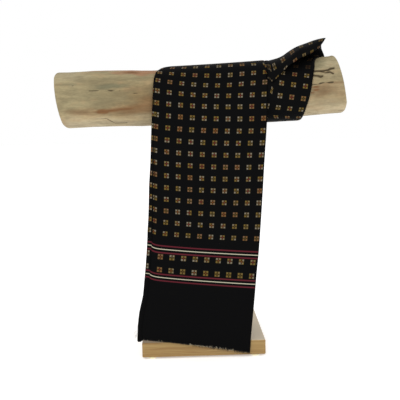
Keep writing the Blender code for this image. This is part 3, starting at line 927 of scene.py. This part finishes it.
def make_log(side_surface, end_surface):
    """Peeled log with its cracks, knots, stains and sawn ends."""
    x, angle, shrink, shear = log_points()
    x_mm = x / MM
    broad = wood_noise(x_mm, angle, 60, 1.6, 3)
    fine = wood_noise(x_mm, angle, 9, 5.5, 11)
    depth = BROAD_DENT * (broad - 1) + FINE_DENT * (fine - 1)
    dark = np.zeros_like(x)
    for half, deep, points in DARK_MARKS:
        away = line_distance(x_mm, angle, points) + CRACK_WANDER * fine
        cut = np.clip(1.3 - away / (half * 1.5), 0, 1)
        dark = np.maximum(dark, cut)
        depth -= deep * cut ** 1.5
    knot_tone = np.zeros_like(x)
    for kx, ka, size, swell in KNOTS:
        away = np.hypot((x_mm - kx) / KNOT_LONG, angle_gap(angle, ka) * MM_PER_DEGREE)
        depth += swell * bump(away, 0, size)
        knot_tone = np.maximum(knot_tone, bump(away, 0, size * 0.8))
    for line, facing in ((TOP_LINE, 88), (LOW_LINE, -90)):
        depth += np.interp(x_mm, *zip(*line)) * bump(angle_gap(angle, facing), 0, SWELL_HALF)
    reach = log_radius(x) - shrink + depth * MM
    turn = np.radians(angle)
    rise = reach * np.sin(turn)
    share = rise / LOG_RADIUS
    sawn = np.where(x < 0, np.interp(share, *zip(*LEFT_SAW)), np.interp(share, *zip(*RIGHT_SAW)))
    world_x = x + (sawn * MM - tan(SAW_ANGLE) * rise) * shear
    spots = np.stack([world_x, AXIS_Y - reach * np.cos(turn), axis_height(x) + rise], axis=-1)
    rough = wood_noise(x_mm, angle, 22, 7, 23)
    brown, red, grey, pale = (spread(places, x_mm, angle, rough) for places in (
        BROWN_STAINS, RED_STAINS, GREY_STAINS, PALE_PATCHES))
    brown = np.maximum(brown, knot_tone * 0.9)
    paints = {"marks": (brown, grey, dark), "tones": (red, pale, fine)}
    return log_mesh(spots, paints, side_surface, end_surface)


def log_mesh(spots, paints, side_surface, end_surface):
    """Mesh of the log's side and its two end faces, with values painted on its points."""
    rings, sides = spots.shape[:2]
    verts = spots.reshape(-1, 3).tolist()
    index = np.arange(rings * sides).reshape(rings, sides)
    following = np.roll(index, -1, axis=1)
    faces = np.stack([index[:-1], index[1:], following[1:], following[:-1]], axis=-1)
    faces = faces.reshape(-1, 4).tolist()
    side_faces = len(faces)
    for row, turn in ((0, 1), (rings - 1, -1)):
        rim = spots[row]
        centre = rim.mean(axis=0)
        last = index[row]
        for k in range(1, CAP_RINGS):
            now = len(verts) + np.arange(sides)
            verts.extend((centre + (rim - centre) * (1 - k / CAP_RINGS)).tolist())
            quads = np.stack([last, np.roll(last, -1), np.roll(now, -1), now], axis=-1)
            faces.extend(quads[:, ::turn].tolist())
            last = now
        middle = np.full(sides, len(verts))
        verts.append(centre.tolist())
        corners = np.stack([last, np.roll(last, -1), middle], axis=-1)
        faces.extend(corners[:, ::turn].tolist())
    slots = [0] * side_faces + [1] * (len(faces) - side_faces)
    log = add_mesh("peeled_log", verts, faces, (side_surface, end_surface), slots)
    for name, values in paints.items():
        colours = np.zeros((len(verts), 4))
        colours[:rings * sides] = np.stack([*values, np.ones_like(values[0])], -1).reshape(-1, 4)
        layer = log.data.color_attributes.new(name, "FLOAT_COLOR", "POINT")
        layer.data.foreach_set("color", colours.ravel())
    log.data.set_sharp_from_angle(angle=SHARP_ANGLE)
    return log


WOOD_PALE = (0.288, 0.237, 0.128)
WOOD_DIM = (0.205, 0.165, 0.088)
WOOD_WARM = (0.36, 0.235, 0.12)
WOOD_BROWN = (0.2, 0.14, 0.064)
WOOD_RIGHT = (0.278, 0.224, 0.124)
WOOD_LOW_BOUNCE_LIT = (0.345, 0.256, 0.136)
WOOD_UNDER_BOUNCE_LIT = (0.385, 0.315, 0.195)
WOOD_LIGHT = (0.43, 0.372, 0.245)
STAIN_BROWN = (0.145, 0.06, 0.018)
STAIN_RED = (0.27, 0.135, 0.066)
STAIN_GREY = (0.15, 0.138, 0.078)
CRACK_DARK = (0.062, 0.044, 0.02)

END_PALE = (0.5, 0.4, 0.24)
END_RING = (0.36, 0.25, 0.13)
END_CHECK = (0.15, 0.09, 0.04)
END_HEART = (0.3, 0.17, 0.08)
RING_STEP = 0.0026
OAK_LIGHT = (0.335, 0.217, 0.073)
OAK_DEEP = (0.245, 0.137, 0.038)
OAK_DARK = (0.18, 0.095, 0.028)
OAK_TOP_PAINTED_LIGHT = (0.62, 0.42, 0.17)
OAK_TOP_PAINTED_REFLECTION = (0.505, 0.43, 0.315)
PAD_DEEP = (0.8, 0.7, 0.42)
PAD_PALE = (0.92, 0.84, 0.58)
FLOOR_PALE = (0.93, 0.93, 0.93)
FLOOR_HALF = 6
WHITE = (1, 1, 1, 1)


def above_axis(net, x, z):
    """Height above the bowed log's axis."""
    axis = net.scaled(net.times(x, x), LOG_BOW, net.scaled(x, LOG_RISE, AXIS_Z))
    return net.minus(z, axis)


def make_log_side():
    """Peeled wood with streaks along the log, stains and cracks, paler on top, with painted bounce
    light lightening its lower side.
    """
    net = Graph("peeled_wood")
    spot = net.place()
    streak = net.streaks(spot, (15, 85, 85), 5, 0.62)
    patch = net.streaks(spot, (30, 62, 62), 3, 0.55)
    fibre = net.streaks(spot, (40, 600, 600), 3, 0.6)
    cloud = net.streaks(spot, (14, 26, 26))
    speck = net.streaks(spot, (170, 420, 420), 2, 0.6)
    brown, grey, dark = net.paint("marks")
    red, pale, _ = net.paint("tones")
    x, _, z = net.split(spot)
    level = net.math("DIVIDE", above_axis(net, x, z), LOG_RADIUS)
    # Height round the log, broken by noise: the top is laid paler, and the lower side gets painted
    # bounce light
    painted_light_height = net.scaled(net.minus(cloud, 0.5), 0.9, level)
    colour = net.layers(
        WOOD_PALE, (net.soft(x, -0.21, -0.07), WOOD_BROWN),
        (net.soft(x, 0.05, 0.15), WOOD_RIGHT), (net.soft(painted_light_height, 0.15, 0.95), WOOD_PALE),
        # painted bounce light from the floor on the log's lower side
        (net.soft(painted_light_height, -0.25, -0.7), WOOD_LOW_BOUNCE_LIT), (net.soft(painted_light_height, -0.6, -1), WOOD_UNDER_BOUNCE_LIT),
        (net.times(pale, 0.6), WOOD_LIGHT), (net.soft(patch, 0.5, 0.64, 0.45), WOOD_DIM),
        (net.soft(patch, 0.47, 0.36, 0.25), WOOD_WARM))
    colour = net.shaded(colour, net.scaled(net.soft(streak, 0.34, 0.68), 0.28, 0.84))
    colour = net.layers(
        colour, (net.times(grey, 0.85), STAIN_GREY), (net.times(red, 0.9), STAIN_RED),
        (net.times(brown, 0.9), STAIN_BROWN))
    grain = net.scaled(net.soft(fibre, 0.3, 0.7), 0.14, 0.86)
    grain = net.scaled(net.soft(speck, 0.3, 0.7), 0.14, grain)
    colour = net.mix(net.soft(dark, 0.35, 0.85), net.shaded(colour, grain), CRACK_DARK)
    net.relief(net.scaled(streak, 2, fibre), 0.35, 0.0005)
    return net.finished(colour, 0.72, 0.25)


def make_log_end():
    """Sawn end grain with rings and fine checks."""
    net = Graph("end_grain")
    spot = net.place()
    x, y, z = net.split(spot)
    across = net.minus(y, AXIS_Y)
    rise = above_axis(net, x, z)
    radius = net.math("SQRT", net.scaled(across, across, net.times(rise, rise)))
    radius = net.scaled(net.noise(spot, 35), 0.004, radius)
    ring = net.math("SINE", net.times(radius, 2 * pi / RING_STEP))
    turn = net.math("ARCTAN2", rise, across)
    check = net.noise(net.join(net.times(turn, 9), net.times(radius, 14)), 1, 4, 0.7)
    colour = net.layers(
        END_PALE, (net.soft(ring, -0.4, 1), END_RING),
        (net.soft(check, 0.62, 0.72), END_CHECK),
        (net.soft(radius, 0.018, 0.004, 0.5), END_HEART))
    net.relief(ring, 0.25, 0.0002)
    return net.finished(colour, 0.8, 0.2)


def make_oak(name, tint=1, upright=False):
    """Planed oak with its grain along the log's direction, or upright, its upward faces lightened
    by painted light and, further right, by a paler painted reflection.
    """
    net = Graph(name)
    spot = net.place()
    x, y, z = net.split(spot)
    if upright:
        x, z = z, x
        spot = net.join(x, y, z)
    bent = net.streaks(spot, (5, 26, 40))
    layer = net.scaled(bent, 9, net.scaled(z, 260, net.times(y, 34)))
    rings = net.noise(net.join(net.times(x, 6), layer), 1, 3, 0.6)
    pores = net.streaks(spot, (60, 900, 900), 2, 0.6)
    light, deep, dark = (tuple(c * tint for c in tone)
                         for tone in (OAK_LIGHT, OAK_DEEP, OAK_DARK))
    _, _, facing = net.split(net.place("Normal"))
    # Painted light on upward faces, and further right a paler painted reflection of the bright
    # surroundings
    top_painted_light = net.times(net.soft(facing, 0.2, 0.6), net.soft(x, -0.115, -0.03))
    top_painted_reflection = net.times(net.soft(facing, 0.5, 0.9), net.soft(x, -0.06, 0.02))
    colour = net.layers(
        deep, (net.soft(rings, 0.34, 0.64), light), (net.soft(pores, 0.6, 0.74, 0.5), dark),
        (net.times(top_painted_light, 0.6), OAK_TOP_PAINTED_LIGHT), (net.times(top_painted_reflection, 0.85), OAK_TOP_PAINTED_REFLECTION))
    net.relief(pores, 0.1, 0.0002)
    return net.finished(colour, 0.45, 0.4)


def make_pad():
    """Soft yellowed clear pad."""
    net = Graph("clear_pad")
    cloud = net.noise(net.place(), 260, 2)
    colour = net.mix(cloud, PAD_DEEP, PAD_PALE)
    return net.finished(colour, 0.35, 0.45, [("Subsurface Weight", 0.3)])


def make_floor():
    """Plain pale floor."""
    glow = (("Emission Color", WHITE), ("Emission Strength", 0.32))
    surface = Graph("floor").finished(FLOOR_PALE, 0.9, 0.1, glow)
    corners = [(x * FLOOR_HALF, y * FLOOR_HALF, 0)
               for x, y in ((-1, -1), (1, -1), (1, 1), (-1, 1))]
    floor = add_mesh("floor", corners, [(0, 1, 2, 3)], (surface,))


# ---- Camera and light ----
CAMERA_AT = Vector((-0.0387, AXIS_Y - 1.1991, 0.4097))
CAMERA_YAW = radians(1.73)  # to the right of straight back
CAMERA_PITCH = radians(7.63)    # downward
CAMERA_ROLL = radians(1.13)
FOCAL_PIXELS = 746
FRAME_PIXELS = 400
SENSOR = 36


def make_camera():
    """Camera at the photograph's place."""
    data = bpy.data.cameras.new("camera")
    data.lens = FOCAL_PIXELS * SENSOR / FRAME_PIXELS
    data.sensor_width = SENSOR
    camera = add_object("camera", data)
    camera.matrix_world = (Matrix.Translation(CAMERA_AT) @ Matrix.Rotation(-CAMERA_YAW, 4, "Z")
                           @ Matrix.Rotation(pi / 2 - CAMERA_PITCH, 4, "X")
                           @ Matrix.Rotation(-CAMERA_ROLL, 4, "Z"))
    bpy.context.scene.camera = camera


LIGHT_AIM = Vector((0, 0, 0.3))
# Soft square lights: name, place, side, power
LIGHTS = (("key", (-0.7, -1.5, 1.9), 1.4, 9), ("fill", (1.3, -1, 1.2), 1.2, 3))


def make_light():
    """Bright even surroundings with soft lights from above in front."""
    world = bpy.data.worlds.new("studio")
    world.use_nodes = True
    background = world.node_tree.nodes["Background"]
    background.inputs["Color"].default_value = WHITE
    bpy.context.scene.world = world
    for name, at, size, power in LIGHTS:
        data = bpy.data.lights.new(name, "AREA")
        data.size = size
        data.energy = power
        lamp = add_object(name, data)
        lamp.location = at
        lamp.rotation_euler = (LIGHT_AIM - Vector(at)).to_track_quat("-Z", "Y").to_euler()
    bpy.context.scene.view_settings.view_transform = "Standard"


# ---- Everything together ----
def dress_nodes():
    """Materials for the CAD nodes that stay."""
    feet = [f"foot_{end}_{side}" for end in ("front", "back") for side in ("left", "right")]
    looks = dict.fromkeys(feet, make_pad())
    looks |= {"board": make_oak("oak"), "post": make_oak("post_oak", 0.9, upright=True)}
    for name, surface in looks.items():
        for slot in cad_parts[name].material_slots:
            slot.material = surface


def main():
    """Build every piece of the picture."""
    make_camera()
    make_light()
    make_floor()
    dress_nodes()
    cloth, spots = make_cloth(make_silk())
    black = make_thread("black_thread", BLACK_THREAD)
    pale = make_thread("pale_thread", PALE_THREAD)
    grey = make_thread("grey_thread", GREY_THREAD)

    columns = spots.shape[1] // 2
    back_edge = spots[0, columns::-1]
    front_edge = spots[0, columns:]
    kinds = (FRONT_LONG, FRONT_PALE)
    threads = edge_threads(front_edge, FRONT_COUNT, 1, *kinds, -THREAD_TILT, -THREAD_AHEAD)
    threads += edge_threads(back_edge, BACK_COUNT, 11, *kinds, 0, -THREAD_AHEAD / 3)
    threads += wisps(Vector(spots[0, 0]))
    front_fringe = make_threads("front_threads", threads, (black, pale, grey))

    kinds = (TAIL_LONG, TAIL_PALE)
    threads = edge_threads(spots[-1, :columns + 1], TAIL_COUNT, 21, *kinds, 0, 0)
    threads += edge_threads(spots[-1, columns:], TAIL_COUNT, 31, *kinds, THREAD_TILT,
                            THREAD_AHEAD)
    tail_fringe = make_threads("tail_threads", threads, (black, pale))
    log = make_log(make_log_side(), make_log_end())

    for piece, nodes, slot in (
        (cloth, ("scarf_front", "scarf_turn", "scarf_wrap", "scarf_collar", "scarf_tail"), "silk"),
        (front_fringe, ("fringe_front",), "fringe"),
        (tail_fringe, ("fringe_tail",), "fringe"),
        (log, ("log",), "log_wood"),
    ):
        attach(piece, "root")
        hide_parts(*nodes)


main()
